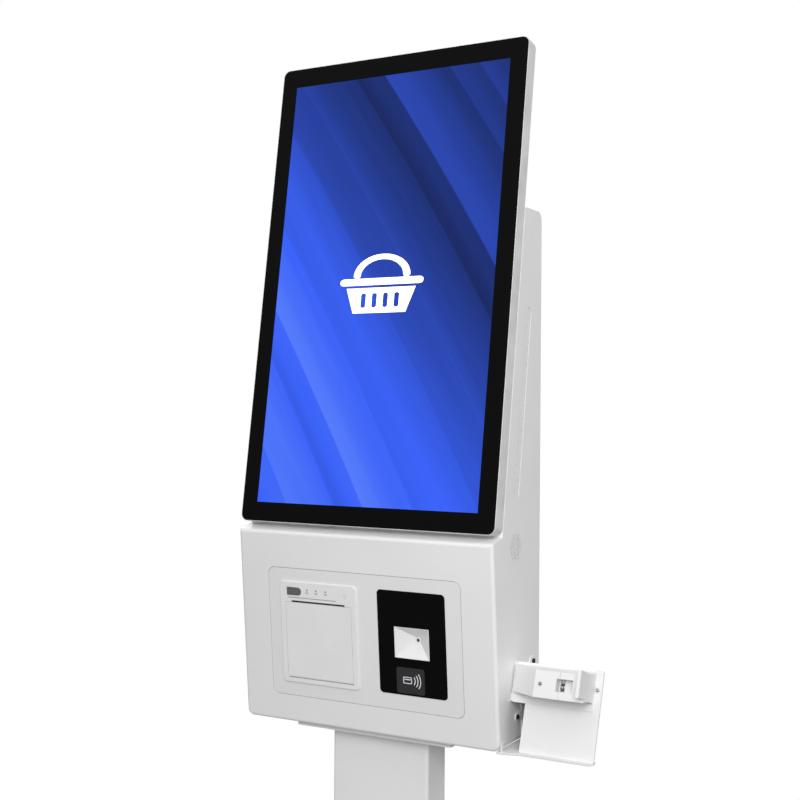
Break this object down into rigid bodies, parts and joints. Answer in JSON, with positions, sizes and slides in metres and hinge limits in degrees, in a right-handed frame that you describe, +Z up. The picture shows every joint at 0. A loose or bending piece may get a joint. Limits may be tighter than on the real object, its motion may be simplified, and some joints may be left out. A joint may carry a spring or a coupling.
{
  "type": "self checkout kiosk",
  "caption": "Floor-standing self checkout kiosk: leaning portrait touch display, receipt printer, code scanner with contactless reader, and a card-terminal holder on a column.",
  "frame": {"origin": "on the floor, at the centre of the base plate and under the centre of the column", "axes": "+Z up, the customer stands on the -Y side, +X is the customer's right-hand side with the terminal holder"},
  "size_m": [0.5316, 0.44, 1.5989],
  "materials": {
    "white_steel": "white powder coat",
    "panel_white": "white powder coat",
    "silver": "satin",
    "cover_glass": "gloss black cover glass",
    "lcd": "gloss",
    "foam": "matt foam",
    "dark_sheet": "matt black",
    "zinc": "zinc plated",
    "black_screw": "black oxide",
    "black_gloss": "gloss black",
    "black_plastic": "satin black",
    "grey_plastic": "dark grey",
    "white_plastic": "satin white",
    "strip_white": "diffuser, unlit",
    "lens_clear": "clear lens",
    "steel": "bright",
    "rubber": "matt",
    "paper": "thermal paper",
    "board": "circuit board",
    "casting": "white painted",
    "label_grey": "label film"
  },
  "bodies": {
    "kiosk": {"touch_glass": "cover_glass", "glass_gasket": "foam", "lcd_panel": "lcd", "display_frame": "silver", "display_back_cover": "dark_sheet", "display_screws": "zinc", "main_housing": "white_steel", "door_hinges": "zinc", "front_insert": "panel_white", "insert_backing": "dark_sheet", "insert_screws": "zinc", "light_strips": "strip_white", "speaker_grilles": "panel_white", "speakers": "black_plastic", "equipment_tray": "zinc", "computer": "dark_sheet", "power_supply": "zinc", "io_panel": "zinc", "power_inlet": "black_plastic", "switch_frame": "black_plastic", "data_sockets": "steel", "printer_bezel": "white_plastic", "printer_door_pin": "steel", "indicator_lenses": "lens_clear", "tear_bar": "steel", "printer_chassis": "black_plastic", "print_head": "steel", "cutter_unit": "zinc", "scanner_panel": "black_gloss", "scanner_funnel": "white_plastic", "scanner_module": "black_plastic", "scanner_lens": "lens_clear", "reader_label": "label_grey", "reader_board": "board", "holder_bracket": "white_steel", "holder_block": "casting", "guide_rods": "steel", "jaw_spring": "steel", "holder_screws": "zinc", "holder_side_screws": "black_screw", "column": "white_steel", "column_top_flange": "white_steel", "column_base_flange": "white_steel", "column_bolts": "zinc", "column_washers": "zinc", "base_plate": "white_steel", "floor_pad": "rubber"},
    "rear_door": {"rear_door": "white_steel"},
    "lock": {"lock_barrel": "zinc", "lock_cam": "zinc"},
    "printer_door": {"printer_door": "white_plastic"},
    "platen": {"platen_shaft": "steel", "platen_roller": "rubber", "platen_gear": "white_plastic"},
    "paper": {"paper_roll": "paper", "roll_core": "grey_plastic"},
    "release_button": {"release_button": "grey_plastic"},
    "feed_button": {"feed_button": "white_plastic"},
    "power_rocker": {"rocker": "black_gloss"},
    "holder_jaw": {"holder_jaw": "casting"}
  },
  "joints": [
    {"name": "rear_door_swing", "type": "hinge", "parent": "kiosk", "child": "rear_door", "pos_m": [-0.168, 0.0664, 1.0475], "axis": [0, 0, 1], "range_deg": [0, 110]},
    {"name": "lock_turn", "type": "hinge", "parent": "rear_door", "child": "lock", "pos_m": [0.15, 0.0604, 1.0475], "axis": [0, 1, 0], "range_deg": [0, 90]},
    {"name": "printer_door_swing", "type": "hinge", "parent": "kiosk", "child": "printer_door", "pos_m": [-0.067, -0.06704, 0.74599], "axis": [1, 0, 0], "range_deg": [0, 75]},
    {"name": "platen_spin", "type": "hinge", "parent": "printer_door", "child": "platen", "pos_m": [-0.067, -0.06675, 0.8389], "axis": [1, 0, 0], "continuous": true},
    {"name": "paper_roll_spin", "type": "hinge", "parent": "kiosk", "child": "paper", "pos_m": [-0.06725, -0.03184, 0.77519], "axis": [1, 0, 0], "continuous": true},
    {"name": "release_press", "type": "slide", "parent": "kiosk", "child": "release_button", "axis": [0, 0.9959, 0.0905], "range_m": [0, 0.0014], "stiffness_N_per_m": 500, "springref_m": -0.002},
    {"name": "feed_press", "type": "slide", "parent": "kiosk", "child": "feed_button", "axis": [0, 0.9959, 0.0905], "range_m": [0, 0.001], "stiffness_N_per_m": 400, "springref_m": -0.0015},
    {"name": "power_switch_rock", "type": "hinge", "parent": "kiosk", "child": "power_rocker", "pos_m": [-0.02, 0.0594, 0.7175], "axis": [1, 0, 0], "range_deg": [0, 18]},
    {"name": "jaw_slide", "type": "slide", "parent": "kiosk", "child": "holder_jaw", "axis": [1, 0, 0], "range_m": [0, 0.008], "stiffness_N_per_m": 800, "springref_m": -0.005}
  ]
}
